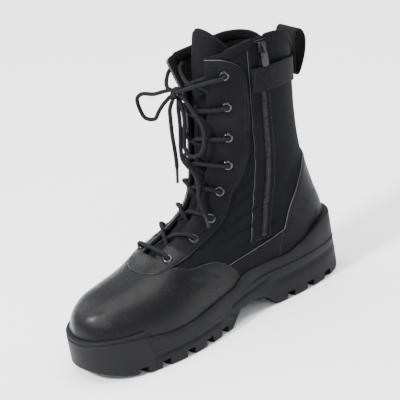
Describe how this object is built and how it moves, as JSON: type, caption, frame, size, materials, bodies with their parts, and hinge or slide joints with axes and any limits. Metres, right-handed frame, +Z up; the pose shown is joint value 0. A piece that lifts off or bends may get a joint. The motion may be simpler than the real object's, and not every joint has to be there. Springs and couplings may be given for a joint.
{
  "type": "combat_boot",
  "caption": "High lace-up combat boot for the right foot: lugged rubber sole with toe bumper, polished vamp, fabric shaft, metal eyelets, side zip, ankle strap and pull loop.",
  "frame": {"origin": "on the floor, under the middle of the heel's middle lug", "axes": "+Z up, the toe points to -Y, +X is the inner side of the foot, where the zip is"},
  "size_m": [0.109, 0.2999, 0.2768],
  "materials": {
    "rubber": "matte",
    "canvas": "matte",
    "leather": "polished",
    "matt_leather": "satin",
    "textile": "matte",
    "lace": "matte",
    "dark_metal": "polished",
    "lining": "matte"
  },
  "bodies": {
    "boot": {"outsole": "rubber", "insole": "lining", "upper": "canvas", "tongue": "textile", "vamp": "leather", "throat_flap": "leather", "facing_inner": "matt_leather", "facing_outer": "matt_leather", "mudguard_inner": "matt_leather", "mudguard_outer": "matt_leather", "heel_counter": "matt_leather", "zip_tape": "textile", "zip_chain": "dark_metal", "zip_slider": "dark_metal", "ankle_strap": "textile", "pull_loop": "textile", "lacing": "lace", "lace_knot": "lace", "lace_loop_outer": "lace", "lace_loop_inner": "lace", "lace_end_outer": "lace", "lace_end_inner": "lace", "eyelet_inner_1": "dark_metal", "eyelet_inner_2": "dark_metal", "eyelet_inner_3": "dark_metal", "eyelet_inner_4": "dark_metal", "eyelet_inner_5": "dark_metal", "eyelet_inner_6": "dark_metal", "eyelet_inner_7": "dark_metal", "eyelet_inner_8": "dark_metal", "eyelet_outer_1": "dark_metal", "eyelet_outer_2": "dark_metal", "eyelet_outer_3": "dark_metal", "eyelet_outer_4": "dark_metal", "eyelet_outer_5": "dark_metal", "eyelet_outer_6": "dark_metal", "eyelet_outer_7": "dark_metal", "eyelet_outer_8": "dark_metal"},
    "zip_pull": {"zip_pull": "dark_metal"}
  },
  "joints": [
    {"name": "zip_pull_swing", "type": "hinge", "parent": "boot", "child": "zip_pull", "pos_m": [0.0484, -0.00766, 0.255], "axis": [0, -1, 0], "range_deg": [0, 110]}
  ]
}
